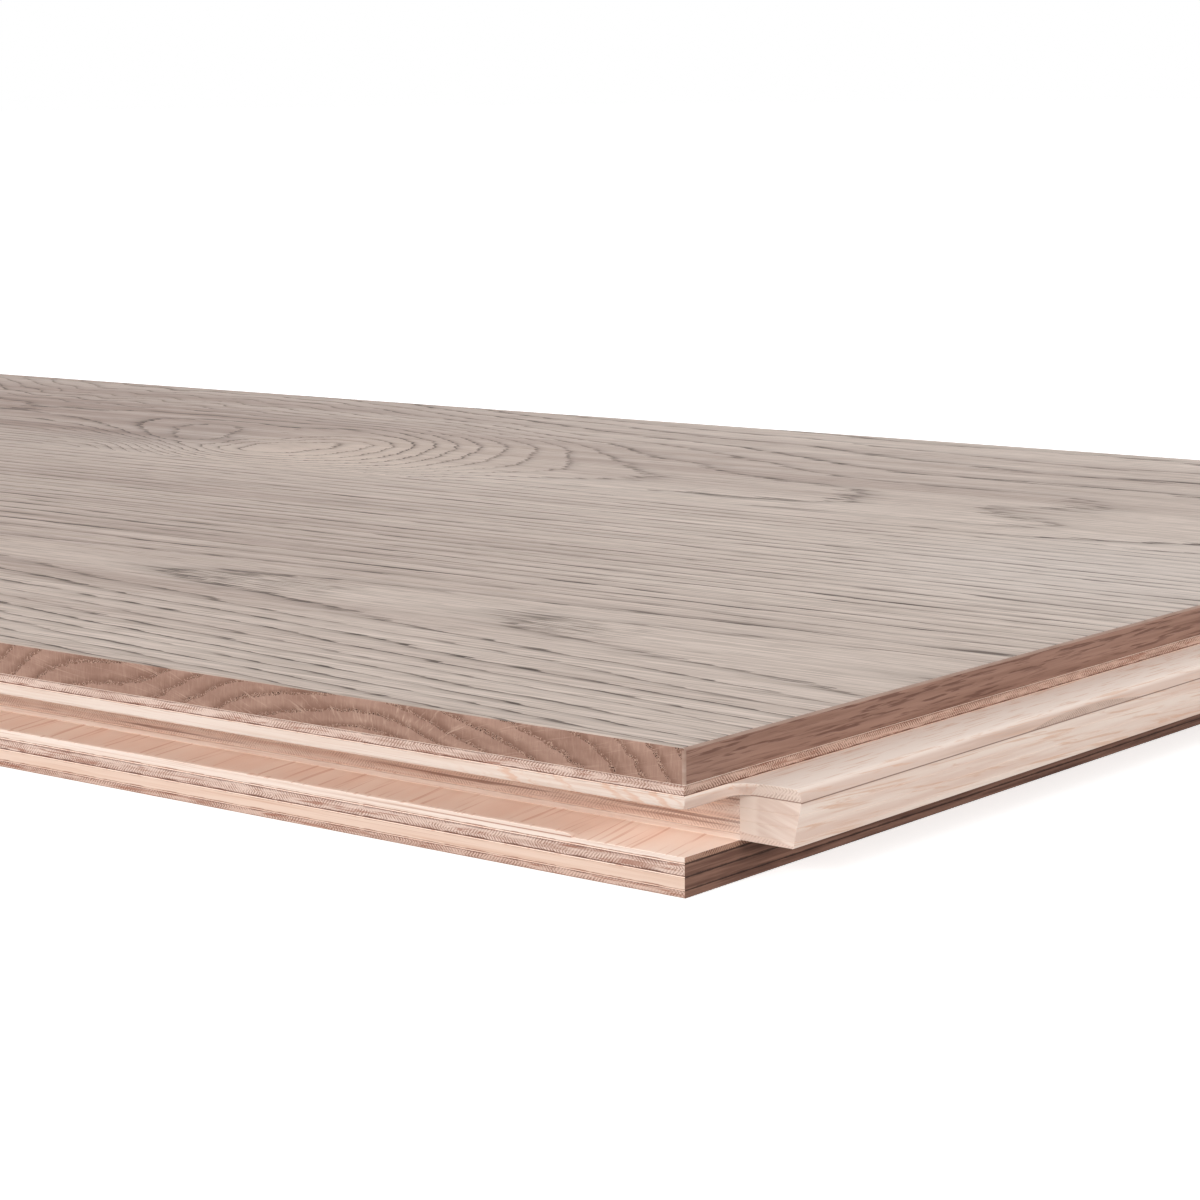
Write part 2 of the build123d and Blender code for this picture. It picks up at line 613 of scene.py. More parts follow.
def point(*feeds):
    return wire(tree_of(feeds), "ShaderNodeCombineXYZ", *feeds).outputs[0]


def noise_at(place, detail, roughness):
    return wire(place.id_data, "ShaderNodeTexNoise", place, None, 1.0, detail, roughness).outputs[0]


def ramped(value, low, high, start=0.0, end=1.0):
    """Carries a value from one range to another, smoothly and within its limits."""
    return wire(value.id_data, "ShaderNodeMapRange", value, low, high, start, end,
                interpolation_type="SMOOTHSTEP").outputs[0]


def swing(streak, reach):
    """Turns a streak into a shift to either side."""
    return ramped(streak, 0.2, 0.8, -reach, reach)


def opened_up(part):
    """A part of a colour as seen, 0 to 255, in the renderer's own scale."""
    part = part / 255
    return part / 12.92 if part <= 0.04045 else ((part + 0.055) / 1.055) ** 2.4


def blended(share, first, second, way="MIX"):
    """Blends two colours, each from a socket or as seen, 0 to 255."""
    made = wire(share.id_data, "ShaderNodeMix", share, data_type="RGBA", blend_type=way)
    for socket, colour in zip(made.inputs[6:8], (first, second)):
        if not isinstance(colour, bpy.types.NodeSocket):
            colour = (*map(opened_up, colour), 1.0)
        feed_socket(socket, colour)
    return made.outputs[2]


def chosen_of(share, first, second):
    return wire(share.id_data, "ShaderNodeMix", share, None, first, second).outputs[0]


def effect_group(name, inputs, output):
    """An empty shader group with values going in and one coming out: its tree, inputs and output."""
    tree = bpy.data.node_groups.new(name, "ShaderNodeTree")
    for label in inputs:
        tree.interface.new_socket(name=label, in_out="INPUT", socket_type="NodeSocketFloat")
    tree.interface.new_socket(name=output, in_out="OUTPUT", socket_type="NodeSocketFloat")
    return tree, tree.nodes.new("NodeGroupInput").outputs, tree.nodes.new("NodeGroupOutput").inputs[0]


def placed(group, **feeds):
    """Puts a shared effect into the tree of its feeds."""
    made = wire(tree_of(feeds.values()), "ShaderNodeGroup", node_tree=group)
    for name, feed in feeds.items():
        feed_socket(made.inputs[name], feed)
    return made.outputs[0]


# Effects that the finishes share

def fibre_effect():
    """Streaks drawn out along the grain. Lengths are in millimetres."""
    tree, given, streak = effect_group(
        "wood_fibres", ["Along", "Across", "Depth", "Length", "Width", "Detail"], "Streak")
    along = worked("DIVIDE", given["Along"], given["Length"])
    across = worked("DIVIDE", given["Across"], given["Width"])
    depth = worked("DIVIDE", given["Depth"], given["Width"])
    feed_socket(streak, noise_at(point(along, across, depth), given["Detail"], 0.55))
    return tree


def glue_line_effect():
    """Thin dark lines where a veneer meets its neighbours above and below, wavering along the board."""
    tree, given, dark = effect_group("glue_line", ["Through", "Along", "Width", "Upper", "Lower"], "Line")
    waver = wire(tree, "ShaderNodeTexNoise", None, product(given["Along"], 0.35), 1.0, 3.0, 0.6,
                 noise_dimensions="1D").outputs[0]
    width = product(given["Width"], ramped(waver, 0.3, 0.7, 0.7, 1.3))
    from_top = less(1.0, given["Through"])
    lines = []
    for distance, strength in ((from_top, given["Upper"]), (given["Through"], given["Lower"])):
        line = ramped(worked("DIVIDE", distance, width), 0.4, 1.0, 1.0, 0.0)
        lines.append(product(line, strength))
    feed_socket(dark, worked("MAXIMUM", *lines))
    return tree


def hatch_effect():
    """Fine feathered hatch of a cut veneer, leaning this way and that, and strong only in patches."""
    tree, given, feathers = effect_group("veneer_hatch", ["Along", "Height"], "Hatch")
    along = given["Along"]
    height = given["Height"]
    bend = product(noise_at(point(product(along, 2.1), product(height, 2.6), 0.0), 2.0, 0.6), 7.0)
    leans = []
    for lean in (14.0, -14.0):
        leans.append(worked("SINE", sum_of(product(along, 15.5), product(height, lean), bend)))
    turn = noise_at(point(product(along, 0.12), product(height, 1.1), 3.0), 1.0, 0.5)
    hatch = chosen_of(ramped(turn, 0.46, 0.54), *leans)
    strong = noise_at(point(product(along, 0.25), product(height, 1.4), 8.0), 2.0, 0.5)
    feed_socket(feathers, product(ramped(hatch, -0.7, 0.9), ramped(strong, 0.34, 0.6, 0.15, 1.0)))
    return tree


fibres = fibre_effect()
glue_line = glue_line_effect()
veneer_hatch = hatch_effect()


def hatched(along, height):
    return placed(veneer_hatch, Along=along, Height=height)


def streaks(along, across, depth, length, width, detail=3.0):
    """Streaks along the grain, by their length and width in millimetres."""
    return placed(fibres, Along=along, Across=across, Depth=depth, Length=length, Width=width, Detail=detail)


def glue_lines(finish, along, width, upper, lower):
    """Glue lines along both edges of a veneer, each with its own strength."""
    through = wire(finish.node_tree, "ShaderNodeAttribute", attribute_name="through").outputs["Fac"]
    return placed(glue_line, Through=through, Along=along, Width=width, Upper=upper, Lower=lower)


# Finishes

def new_finish(name, roughness, specular):
    """A material, and the place on the piece in millimetres."""
    finish = bpy.data.materials.new(name)
    finish.use_nodes = True
    tree = finish.node_tree
    shader = tree.nodes["Principled BSDF"]
    shader.inputs["Roughness"].default_value = roughness
    shader.inputs["Specular IOR Level"].default_value = specular
    place = tree.nodes.new("ShaderNodeTexCoord").outputs["Object"]
    in_mm = wire(tree, "ShaderNodeVectorMath", place, (1 / mm,) * 3, operation="MULTIPLY").outputs[0]
    return finish, *wire(tree, "ShaderNodeSeparateXYZ", in_mm).outputs


def dressed(finish, colour, relief, depth, strength):
    """Gives a finish its colour, and a surface raised from a height between 0 and 1 to a depth in metres."""
    shader = finish.node_tree.nodes["Principled BSDF"]
    bump = wire(finish.node_tree, "ShaderNodeBump")
    for label, feed in (("Strength", strength), ("Distance", depth), ("Height", relief)):
        feed_socket(bump.inputs[label], feed)
    feed_socket(shader.inputs["Base Color"], colour)
    feed_socket(shader.inputs["Normal"], bump.outputs[0])
    return finish


def stored(finish, name):
    """The three values of a vector stored on the piece."""
    vector = wire(finish.node_tree, "ShaderNodeAttribute", attribute_name=name).outputs["Vector"]
    return wire(finish.node_tree, "ShaderNodeSeparateXYZ", vector).outputs


def oak_top_finish():
    """Brushed oak under a grey wash: dark open pores along each ring, paler and warmer wood between."""
    finish, x, y, z = new_finish("greywashed_oak", 0.55, 0.1)
    near, far, past_seam = stored(finish, "rings")
    near_pace, far_pace, bold = stored(finish, "ring_pace")
    warm, dull, browning_and_sheen = stored(finish, "tints_and_sheen")
    fray = streaks(x, y, z, length=16.0, width=0.8, detail=2.0)
    drift = streaks(x, y, z, length=42.0, width=6.0, detail=1.0)
    frayed_seam = sum_of(past_seam, swing(fray, 1.2))
    on_far = worked("GREATER_THAN", frayed_seam, 0.0)
    ring = chosen_of(on_far, near, far)
    pace = worked("MAXIMUM", chosen_of(on_far, near_pace, far_pace), 0.055)
    shake = sum_of(0.11, product(pace, 0.01))
    stray = sum_of(0.06, product(pace, 0.36))
    ring = sum_of(ring, product(swing(fray, 1.0), shake))
    ring = sum_of(ring, product(swing(drift, 1.0), stray))
    past_line = worked("DIVIDE", worked("FRACT", ring), worked("POWER", pace, 0.25))
    vigour = wire(finish.node_tree, "ShaderNodeTexWhiteNoise", None, worked("FLOOR", ring),
                  noise_dimensions="1D").outputs[0]
    core = product(ramped(past_line, 0.0, 0.04), ramped(past_line, 0.1, 0.27, 1.0, 0.0))
    halo = product(ramped(past_line, 0.0, 0.05), ramped(past_line, 0.14, 0.7, 0.38, 0.0))
    zone = worked("MAXIMUM", core, halo)
    pores = streaks(x, y, z, length=6.5, width=0.3, detail=1.0)
    fading = streaks(x, y, z, length=26.0, width=1.8, detail=1.0)
    strength = product(ramped(vigour, 0.0, 1.0, 0.7, 1.0), worked("MINIMUM", bold, 1.0))
    strength = product(strength, ramped(fading, 0.3, 0.52, 0.45, 1.0))
    line = product(zone, strength, ramped(pores, 0.34, 0.5, 0.6, 1.0))
    crowd = ramped(bold, 1.0, 2.0)
    strewn = ramped(sum_of(pores, product(crowd, 0.09)), 0.53, 0.68)
    strewn = product(strewn, sum_of(product(crowd, 0.32), 0.3))
    dark = worked("MAXIMUM", line, strewn)

    mottle = streaks(x, y, z, length=240.0, width=9.0, detail=4.0)
    streak = streaks(x, y, z, length=30.0, width=0.6, detail=4.0)
    browned = product(browning_and_sheen, ramped(mottle, 0.3, 0.7, 1.3, 0.7))
    browned = sum_of(browned, ramped(mottle, 0.25, 0.75, 0.14, -0.14))
    browned = worked("MINIMUM", worked("MAXIMUM", browned, 0.0), 1.0)
    wood = blended(ramped(streak, 0.3, 0.7), (181, 163, 150), (213, 195, 183))
    wood = blended(browned, wood, (184, 166, 158), "MULTIPLY")
    # Painted sheen: paler, cooler wood where the stored browning falls below nothing
    wood = blended(ramped(browning_and_sheen, -0.25, 0.0, 0.3, 0.0), wood, (222, 212, 206))
    wood = blended(product(dull, 0.32), wood, (118, 97, 87))
    wood = blended(product(warm, 0.5), wood, (212, 189, 172))
    colour = blended(product(dark, 0.95), wood, (76, 66, 61))
    shader = finish.node_tree.nodes["Principled BSDF"]
    feed_socket(shader.inputs["Roughness"], ramped(dark, 0.0, 1.0, 0.52, 0.8))
    relief = less(product(streak, 0.3), dark)
    return dressed(finish, colour, relief, 0.06 * mm, 0.6)


def oak_side_finish():
    """Sawn oak across the rings: bowed bands, rows of open pores and fine pale rays."""
    finish, x, y, z = new_finish("oak_ring_ends", 0.75, 0.2)
    sway = streaks(x, z, y, length=45.0, width=30.0, detail=1.0)
    shifted = sum_of(x, 45 - end_face / mm, swing(sway, 9.0))
    from_crest = product(worked("PINGPONG", shifted, 95.0), 0.35)
    up = less(z, 5.0)
    ring = product(worked("SQRT", sum_of(product(up, up), product(from_crest, from_crest))), 0.6)
    rough = streaks(x, z, y, length=2.2, width=1.2)
    ring = sum_of(ring, swing(rough, 0.09))
    within = worked("FRACT", ring)
    zone = product(ramped(within, 0.0, 0.05), ramped(within, 0.05, 0.62, 1.0, 0.0))
    cell_place = point(product(x, 4.4), product(z, 3.6), 0.0)
    cells = wire(finish.node_tree, "ShaderNodeTexVoronoi", cell_place, None, 1.0).outputs[0]
    scatter = streaks(x, z, y, length=2.5, width=1.0, detail=1.0)
    row = product(ramped(within, 0.0, 0.04), ramped(within, 0.1, 0.3, 1.0, 0.0))
    row = sum_of(row, ramped(scatter, 0.3, 0.75, -0.3, 0.5))
    in_row = ramped(row, 0.35, 0.8)
    pores = product(ramped(cells, 0.18, 0.38, 1.0, 0.0), in_row)
    rims = product(ramped(cells, 0.3, 0.42), ramped(cells, 0.42, 0.6, 1.0, 0.0), in_row)
    fan = worked("DIVIDE", from_crest, up)
    rays = noise_at(point(product(fan, 26.0), product(z, 0.5), product(x, 0.02)), 3.0, 0.65)
    bristle = streaks(z, x, y, length=1.1, width=0.22, detail=2.0)
    patchy = streaks(x, z, y, length=9.0, width=3.0)
    wood = blended(ramped(patchy, 0.3, 0.7), (170, 136, 120), (148, 114, 99))
    wood = blended(product(zone, 0.85), wood, (116, 82, 68))
    wood = blended(ramped(rays, 0.55, 0.75, 0.0, 0.55), wood, (202, 170, 152))
    wood = blended(ramped(bristle, 0.34, 0.5, 0.14, 0.0), wood, (126, 91, 77))
    wood = blended(ramped(bristle, 0.52, 0.68, 0.0, 0.13), wood, (206, 172, 152))
    wood = blended(product(rims, 0.6), wood, (208, 174, 154))
    colour = blended(product(pores, 0.95), wood, (74, 46, 38))
    return dressed(finish, colour, less(bristle, pores), 0.1 * mm, 0.8)


def oak_end_finish():
    """Sawn oak along the fibres: reddish brown with short dark pore strokes."""
    finish, x, y, z = new_finish("oak_pore_strokes", 0.65, 0.25)
    streak = streaks(y, z, x, length=20.0, width=0.7, detail=4.0)
    strokes = streaks(y, z, x, length=6.0, width=0.3, detail=2.0)
    patchy = streaks(y, z, x, length=14.0, width=1.2, detail=1.0)
    dark = product(ramped(strokes, 0.52, 0.62), ramped(patchy, 0.35, 0.6, 0.4, 1.0))
    wood = blended(ramped(streak, 0.3, 0.7), (139, 104, 89), (162, 126, 110))
    colour = blended(product(dark, 0.75), wood, (98, 64, 53))
    return dressed(finish, colour, less(streak, dark), 0.05 * mm, 0.6)


def eased_edge_finish():
    """Sanded arris of the oak, a little paler than the sawn faces beside it."""
    finish, x, y, z = new_finish("eased_oak_arris", 0.6, 0.25)
    worn = streaks(sum_of(x, y), z, 0.0, length=6.0, width=1.0)
    colour = blended(ramped(worn, 0.3, 0.7), (178, 150, 136), (160, 130, 115))
    return dressed(finish, colour, worn, 0.02 * mm, 0.4)


def hatched_edge_finish(name, pale, brown, along_axis, upper_glue, lower_glue):
    """Edge of a cross-laid veneer: feathered hatch, short brown wisps and dark glue lines."""
    finish, x, y, z = new_finish(name, 0.75, 0.2)
    along = x if along_axis == "x" else y
    hatch = hatched(along, z)
    bands = streaks(along, z, 0.0, length=14.0, width=0.5)
    flow = sum_of(z, product(bands, 1.6))
    wisps = streaks(along, flow, 7.0, length=9.0, width=0.24)
    glue = glue_lines(finish, along, width=0.2, upper=upper_glue, lower=lower_glue)
    wood = blended(product(hatch, 0.9), pale, brown)
    wood = blended(ramped(bands, 0.48, 0.72, 0.0, 0.5), wood, brown)
    wood = blended(ramped(wisps, 0.55, 0.64, 0.0, 0.7), wood, (152, 98, 77))
    colour = blended(glue, wood, (98, 58, 45))
    return dressed(finish, colour, hatch, 0.02 * mm, 0.5)


def cream_edge_finish(name, pale, tan, slanting, lower_glue, ridge_shadow_strength=0.0):
    """Edge of a veneer laid along the board: cream wood, soft tan streaks, slanting lines by the end, and a
    painted shadow line under the ridge.
    """
    finish, x, y, z = new_finish(name, 0.6, 0.25)
    soft = streaks(x, z, 0.0, length=26.0, width=0.5)
    fine = streaks(x, z, 5.0, length=18.0, width=0.14, detail=2.0)
    slant = sum_of(x, product(z, 1.7), product(soft, 3.0))
    lines = streaks(z, slant, 2.0, length=5.0, width=1.9, detail=2.0)
    from_end = less(end_face / mm, x)
    by_end = product(ramped(from_end, 22.0, 34.0, 1.0, 0.0), slanting)
    glue = glue_lines(finish, x, width=0.14, upper=0.35, lower=lower_glue)
    wood = blended(ramped(soft, 0.42, 0.72, 0.0, 0.7), pale, tan)
    wood = blended(ramped(fine, 0.56, 0.68, 0.0, 0.45), wood, (202, 158, 134))
    wood = blended(product(ramped(lines, 0.48, 0.68), by_end), wood, (218, 170, 142))
    # Painted shadow: a brown line along the foot of the ridge, fading away from the end
    from_ridge_foot = worked("ABSOLUTE", less(z, groove_floor / mm))
    beside_tear = worked("GREATER_THAN", from_end, torn_length / mm)
    fading = ramped(from_end, 22.0, 60.0, ridge_shadow_strength, 0.0)
    painted_ridge_shadow = product(ramped(from_ridge_foot, 0.03, 0.1, 1.0, 0.0), beside_tear, fading)
    wood = blended(painted_ridge_shadow, wood, (168, 118, 98))
    colour = blended(glue, wood, (142, 92, 72))
    return dressed(finish, colour, soft, 0.02 * mm, 0.4)


def tongue_finish():
    """Milled tongue: cream wood with tan and pinkish streaks across the board, a top painted paler against
    the oak's shade, and one thin dark glue line.
    """
    finish, x, y, z = new_finish("milled_tongue", 0.6, 0.2)
    soft = streaks(y, z, x, length=34.0, width=1.5)
    bend = sum_of(z, product(y, 0.06), product(soft, 2.0))
    fine = streaks(y, bend, x, length=14.0, width=0.35)
    hatch = hatched(y, z)
    seam_height = tongue_seam / mm
    low_down = ramped(z, seam_height - 0.4, seam_height + 0.4, 1.0, 0.0)
    pale = blended(low_down, (228, 202, 188), (251, 232, 219))
    pinkish = blended(low_down, (208, 177, 161), (236, 208, 193))
    wood = blended(ramped(soft, 0.35, 0.68), pale, pinkish)
    # Painted light: the top of the tongue, shaded by the oak above it, is painted paler
    wood = blended(ramped(z, 9.6, 10.1, 0.0, 0.9), wood, (255, 238, 226))
    wood = blended(ramped(fine, 0.52, 0.68, 0.0, 0.62), wood, (224, 180, 152))
    above_seam = less(z, seam_height)
    short_swell = worked("SINE", sum_of(product(y, 0.15), 10.27))
    long_swell = worked("SINE", sum_of(product(y, 0.07), 5.07))
    patch_top = ramped(sum_of(short_swell, long_swell), -0.2, 2.0, 0.0, 0.95)
    over_patch = less(above_seam, patch_top)
    feathered = product(ramped(over_patch, -0.14, 0.02, 1.0, 0.0), worked("GREATER_THAN", above_seam, 0.0))
    wood = blended(product(feathered, 0.75), wood, (206, 180, 165))
    wood = blended(product(feathered, hatch, 0.6), wood, (158, 126, 111))
    from_seam = worked("ABSOLUTE", above_seam)
    colour = blended(ramped(from_seam, 0.02, 0.11, 0.8, 0.0), wood, (122, 86, 72))
    return dressed(finish, colour, fine, 0.02 * mm, 0.4)


def tongue_tip_finish():
    """Near end of the tongue's top veneer: pale hatch across the fibres."""
    finish, x, y, z = new_finish("tongue_tip_hatch", 0.7, 0.2)
    hatch = hatched(x, z)
    wood = blended(product(hatch, 0.7), (236, 216, 203), (198, 168, 152))
    above_seam = less(z, tongue_seam / mm)
    colour = blended(ramped(above_seam, 0.06, 0.16, 0.8, 0.0), wood, (142, 102, 86))
    return dressed(finish, colour, hatch, 0.03 * mm, 0.5)


def tongue_butt_finish():
    """Near end of the tongue's core: smooth pinkish cream with soft slanting streaks."""
    finish, x, y, z = new_finish("tongue_butt", 0.6, 0.2)
    slant = sum_of(z, product(x, 0.3))
    soft = streaks(x, slant, y, length=9.0, width=1.1, detail=2.0)
    fine = streaks(x, slant, y, length=7.0, width=0.25, detail=2.0)
    past_end = less(x, end_face / mm)
    hatch = hatched(x, z)
    wood = blended(ramped(soft, 0.3, 0.7), (244, 224, 211), (226, 199, 184))
    wood = blended(ramped(fine, 0.55, 0.75, 0.0, 0.35), wood, (218, 184, 166))
    wood = blended(ramped(past_end, 1.7, 2.5, 0.8, 0.0), wood, (248, 230, 217))
    foot = ramped(sum_of(z, product(past_end, 0.1)), 4.9, 5.1, 1.0, 0.0)
    wood = blended(product(foot, 0.85), wood, (238, 212, 197))
    colour = blended(product(foot, hatch, 0.5), wood, (196, 160, 142))
    return dressed(finish, colour, fine, 0.02 * mm, 0.4)


def groove_wall_finish():
    """Back wall of the groove: brownish pink milled plies with smoky streaks."""
    finish, x, y, z = new_finish("milled_groove_wall", 0.75, 0.2)
    hatch = hatched(x, z)
    bands = streaks(x, z, y, length=26.0, width=0.5, detail=4.0)
    smoky = streaks(x, z, 4.0, length=18.0, width=0.3)
    wood = blended(ramped(bands, 0.3, 0.7), (253, 234, 222), (236, 206, 190))
    wood = blended(ramped(smoky, 0.53, 0.68, 0.0, 0.75), wood, (160, 120, 106))
    colour = blended(product(hatch, 0.45), wood, (178, 138, 121))
    return dressed(finish, colour, hatch, 0.02 * mm, 0.5)


def flat_veneer_finish(name, pale, peach, tan, slope):
    """Flat of a milled or sanded veneer: pale wood with tan grain lines that slope across the board."""
    finish, x, y, z = new_finish(name, 0.65, 0.25)
    sway = streaks(y, x, z, length=40.0, width=14.0, detail=1.0)
    slant = sum_of(x, product(y, slope), product(sway, 4.0))
    lines = streaks(y, slant, z, length=30.0, width=0.8, detail=2.0)
    soft = streaks(y, slant, z, length=60.0, width=5.0)
    wood = blended(ramped(soft, 0.3, 0.7), pale, peach)
    colour = blended(ramped(lines, 0.56, 0.66, 0.0, 0.48), wood, tan)
    return dressed(finish, colour, lines, 0.02 * mm, 0.4)


def dark_end_painted_shade_finish():
    """End of the lower lip: dark ply ends, partly darker sawn wood and partly painted shade from the tongue,
    with a painted lit top strip and a few darker seams.
    """
    finish, x, y, z = new_finish("lip_end_with_painted_shade", 0.7, 0.2)
    streak = streaks(y, z, x, length=12.0, width=0.45, detail=4.0)
    glue = glue_lines(finish, y, width=0.12, upper=1.0, lower=1.0)
    hatch = hatched(y, z)
    # Dark ply ends: partly darker sawn wood, partly painted shade under the tongue
    wood = blended(ramped(streak, 0.3, 0.7), (98, 68, 57), (144, 108, 92))
    # Painted light: a paler strip along the top of the end, where light gets past the tongue
    lit_top = ramped(z, 3.5, 3.6)
    wood = blended(lit_top, wood, blended(hatch, (176, 138, 118), (112, 78, 64)))
    colour = blended(product(glue, 0.75), wood, (40, 26, 22))
    return dressed(finish, colour, streak, 0.03 * mm, 0.5)


# Pieces

def finish_faces(blank, finishes, choose):
    """Gives each face of a blank the finish that is chosen for it by name."""
    names = list(finishes)
    blank.normal_update()
    for face in blank.faces:
        face.material_index = names.index(choose(face))


def oak_finish_of(face):
    """The finish of a face of the oak, by the way it looks."""
    normal = face.normal
    tilt = abs(normal.z)
    sideways = abs(normal.y) > abs(normal.x)
    if normal.z > fully:
        return "top"
    if tilt > slightly and sideways:
        return "side" if tilt < mostly else "top"
    if tilt > slightly or min(abs(normal.x), abs(normal.y)) > slightly:
        return "arris"
    return "side" if sideways else "end"


def ply_finish_of(number, face):
    """The finish of a face of a ply, by where it lies and the way it looks."""
    middle = face.calc_center_median()
    normal = face.normal
    past_end = middle.x - end_face
    if number == nose_ply and past_end > cutter_round_low and normal.y < -nearly_all:
        return "tongue tip"
    if number > nose_ply and past_end > tongue_start and normal.y < -halfway:
        return "tongue butt"
    if past_end > tongue_start:
        return "end"
    # Ends of the lower plies under the tongue get the dark finish with painted shade
    if number >= groove_ply and past_end > -2 * ply_edge_ease and middle.z < groove_floor:
        return "dark end"
    if abs(normal.z) > mostly:
        return "flat"
    if abs(normal.x) > mostly:
        return "end"
    if number in tongue_plies and middle.y > 0:
        return "side tongue"
    return "side"


oak_finishes = {
    "top": oak_top_finish(),
    "side": oak_side_finish(),
    "end": oak_end_finish(),
    "arris": eased_edge_finish(),
}
hatched_side = hatched_edge_finish(
    "hatched_ply_side", (226, 201, 188), (162, 124, 108), "x", upper_glue=0.6, lower_glue=0.9)
hatched_back = hatched_edge_finish(
    "hatched_back_side", (217, 187, 172), (146, 108, 92), "x", upper_glue=1.0, lower_glue=0.4)
hatched_end = hatched_edge_finish(
    "hatched_ply_end", (214, 181, 164), (126, 89, 72), "y", upper_glue=0.4, lower_glue=1.0)
upper_lip_side = cream_edge_finish(
    "upper_lip_side", (233, 215, 203), (222, 197, 181), slanting=0.6, lower_glue=0.1)
lower_lip_side = cream_edge_finish(
    "lower_lip_side", (241, 223, 211), (229, 204, 188), slanting=0.0, lower_glue=0.9, ridge_shadow_strength=0.8)
yellow_side = cream_edge_finish(
    "yellow_ply_side", (230, 203, 186), (219, 185, 164), slanting=0.0, lower_glue=0.9)
milled_tongue = tongue_finish()
tongue_tip = tongue_tip_finish()
tongue_butt = tongue_butt_finish()
groove_wall = groove_wall_finish()
veneer_flat = flat_veneer_finish(
    "milled_veneer_flat", (255, 236, 222), (250, 224, 208), (210, 158, 132), slope=0.2)
back_flat = flat_veneer_finish(
    "sanded_back_veneer", (238, 214, 198), (224, 194, 176), (190, 146, 124), slope=0.0)
dark_lip_end_painted_shade = dark_end_painted_shade_finish()
side_finishes = {1: hatched_side, 2: upper_lip_side, 3: groove_wall, 4: groove_wall, 5: groove_wall,
                 6: lower_lip_side, 7: hatched_side, 8: yellow_side, 9: hatched_back}


def make_oak():
    oak = oak_blank()
    finish_faces(oak, oak_finishes, oak_finish_of)
    piece = finished("oak_wear_layer", oak, oak_finishes.values(), "oak_face")
    write_rings(piece)
    lay_out(piece, oak_lanes, oak_lane_rows, oak_end_rows)


def make_ply(number):
    low, high = ply_boxes[number]
    cross_laid = number % 2 == 1
    finishes = {
        "side": side_finishes[number],
        "end": hatched_end if cross_laid and number not in tongue_plies else milled_tongue,
        "flat": back_flat if number == back_ply else veneer_flat,
        "dark end": dark_lip_end_painted_shade,
        "tongue tip": tongue_tip,
        "side tongue": lower_lip_side,
        "tongue butt": tongue_butt,
    }
    ply = ply_blank(number)
    cut_lanes(ply, low.x, high.x, ply_lanes)
    ease(ply, sharp_edges(ply), ply_edge_ease, 1)
    finish_faces(ply, finishes, partial(ply_finish_of, number))
    piece = finished(f"ply_{number}", ply, finishes.values(), f"core_ply_{number}")
    write_through(piece, low.z, high.z)
    lay_out(piece, ply_lanes, back_lane_rows if number == back_ply else ply_lane_rows, ply_end_rows)


make_oak()
for number in ply_boxes:
    make_ply(number)


# Floor, light and camera

def seen_by_eye(tree):
    """1 for what the camera sees, straight or mirrored, and 0 for light thrown on other things."""
    rays = tree.nodes.new("ShaderNodeLightPath").outputs
    mirrored = worked("MAXIMUM", rays["Is Glossy Ray"], rays["Is Transmission Ray"])
    return worked("MAXIMUM", rays["Is Camera Ray"], mirrored)


def pale_floor():
    """White floor just under the board, which keeps its shadow and throws less light back than it shows."""
    reach = 40.0
    gap = 0.05 * mm
    white = (255, 255, 255)
    black = (0, 0, 0)
    thrown_back = (195.7, 194.1, 192.5)
    blank = bmesh.new()
    bmesh.ops.create_grid(blank, x_segments=1, y_segments=1, size=reach)
    bmesh.ops.translate(blank, vec=(0, 0, -gap), verts=blank.verts)
    mesh = bpy.data.meshes.new("pale_floor")
    blank.to_mesh(mesh)
    blank.free()
    finish = bpy.data.materials.new("white_floor")
    finish.use_nodes = True
    tree = finish.node_tree
    shader = tree.nodes["Principled BSDF"]
    shader.inputs["Roughness"].default_value = 1.0
    shader.inputs["Specular IOR Level"].default_value = 0.0
    seen = seen_by_eye(tree)
    feed_socket(shader.inputs["Base Color"], blended(seen, thrown_back, white))
    feed_socket(shader.inputs["Emission Color"], blended(seen, black, white))
    shader.inputs["Emission Strength"].default_value = 0.6
    mesh.materials.append(finish)
    floor = bpy.data.objects.new("pale_floor", mesh)
    bpy.context.scene.collection.objects.link(floor)


def soft_sky():
    """White sky that lights the board less than it shows."""
    lighting = 0.42
    world = bpy.data.worlds.new("soft_sky")
    world.use_nodes = True
    bpy.context.scene.world = world
    tree = world.node_tree
    background = tree.nodes["Background"]
    background.inputs["Color"].default_value = (1.0, 1.0, 1.0, 1.0)
    feed_socket(background.inputs["Strength"], ramped(seen_by_eye(tree), 0.0, 1.0, lighting, 1.0))


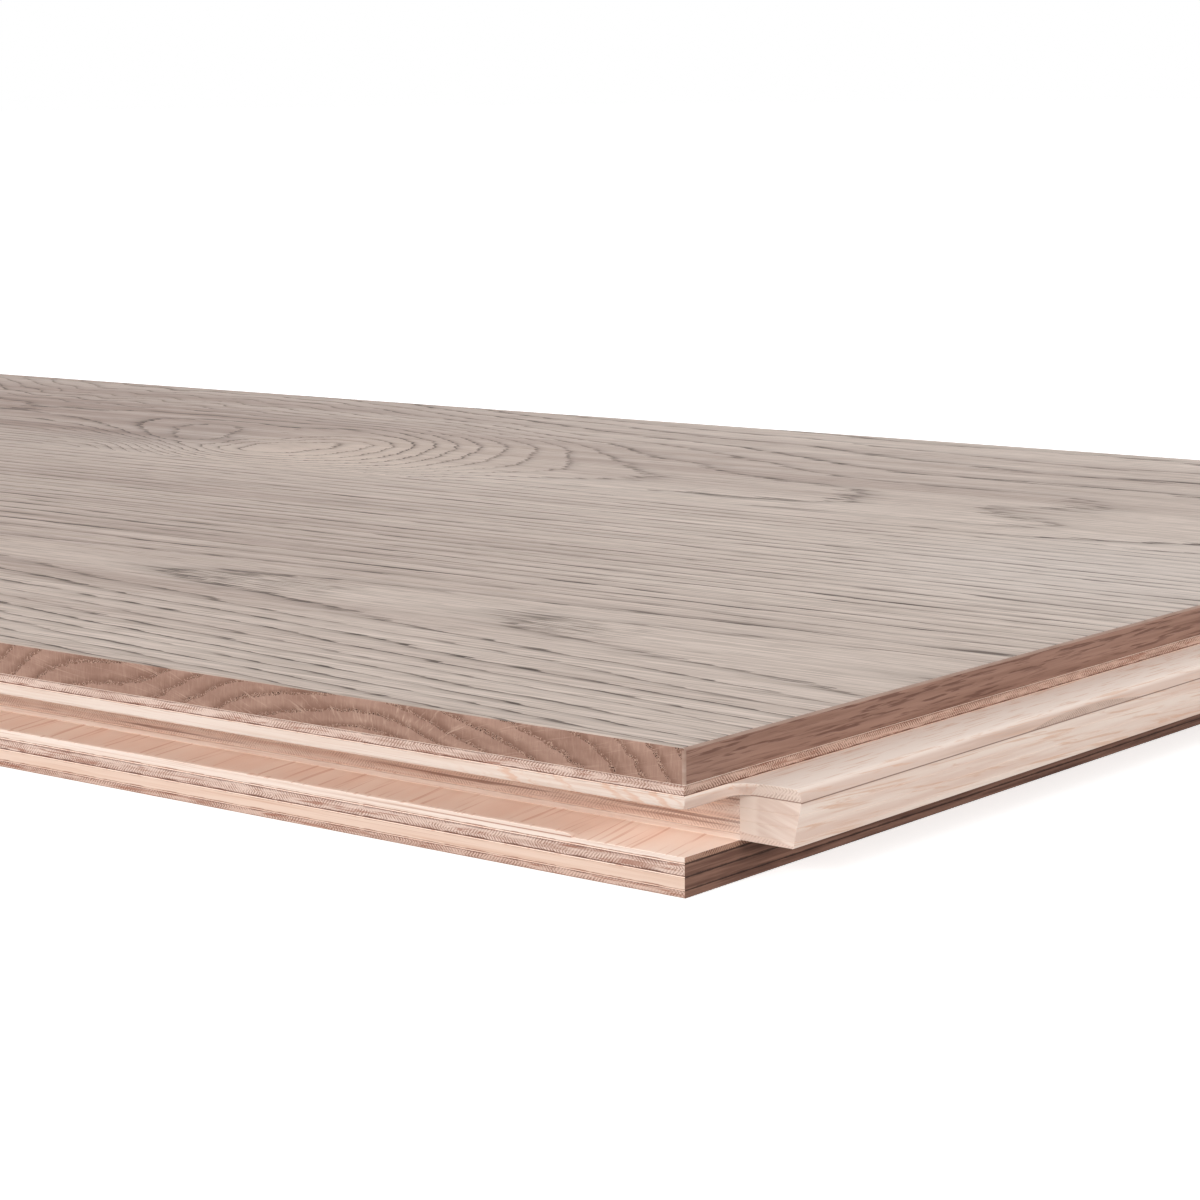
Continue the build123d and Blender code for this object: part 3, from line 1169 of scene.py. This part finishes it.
def soft_lamp(name, place, aim, width, height, power):
    lamp = bpy.data.lights.new(name, "AREA")
    lamp.shape = "RECTANGLE"
    lamp.size = width
    lamp.size_y = height
    lamp.energy = power
    holder = bpy.data.objects.new(name, lamp)
    holder.location = place
    holder.rotation_euler = (Vector(aim) - Vector(place)).to_track_quat("-Z", "Y").to_euler()
    bpy.context.scene.collection.objects.link(holder)


def photo_camera():
    """Camera fitted to the edges of the board in the photograph."""
    turn = math.radians(-39.09705)
    dip = math.radians(9.24154)
    tilt = math.radians(-0.61905)
    past_end = 0.177074
    before_side = 0.230581
    above_floor = 0.076859
    ahead = Vector((math.sin(turn) * math.cos(dip), math.cos(turn) * math.cos(dip), -math.sin(dip)))
    right = Vector((math.cos(turn), -math.sin(turn), 0))
    up = right.cross(ahead)
    tilted_right = math.cos(tilt) * right + math.sin(tilt) * up
    tilted_up = math.cos(tilt) * up - math.sin(tilt) * right
    lens = bpy.data.cameras.new("photo_camera")
    lens.sensor_width = 36.0
    lens.lens = 92.164
    lens.clip_start = 0.01
    lens.clip_end = 200.0
    camera = bpy.data.objects.new("photo_camera", lens)
    matrix = Matrix((tilted_right, tilted_up, -ahead)).transposed().to_4x4()
    matrix.translation = (end_face + past_end, -side_face - before_side, above_floor)
    camera.matrix_world = matrix
    bpy.context.scene.collection.objects.link(camera)
    bpy.context.scene.camera = camera


pale_floor()
soft_sky()
soft_lamp("front_softbox", (0.2, -1.5, 0.73), (0.3, -0.1, 0.0), width=2.6, height=0.35, power=24.0)
soft_lamp("low_front_softbox", (0.2, -1.6, 0.3), (0.3, -0.1, 0.0), width=2.6, height=0.2, power=4.0)
soft_lamp("back_softbox", (0.0, 1.5, 0.68), (0.0, 0.1, 0.0), width=2.6, height=0.35, power=8.0)
soft_lamp("right_softbox", (2.5, -0.25, 0.45), (1.1, 0.0, 0.0), width=0.9, height=0.4, power=9.0)
soft_lamp("left_softbox", (-2.5, 0.25, 0.3), (-1.1, 0.0, 0.0), width=0.9, height=0.4, power=6.0)
photo_camera()
bpy.context.scene.view_settings.view_transform = "Standard"
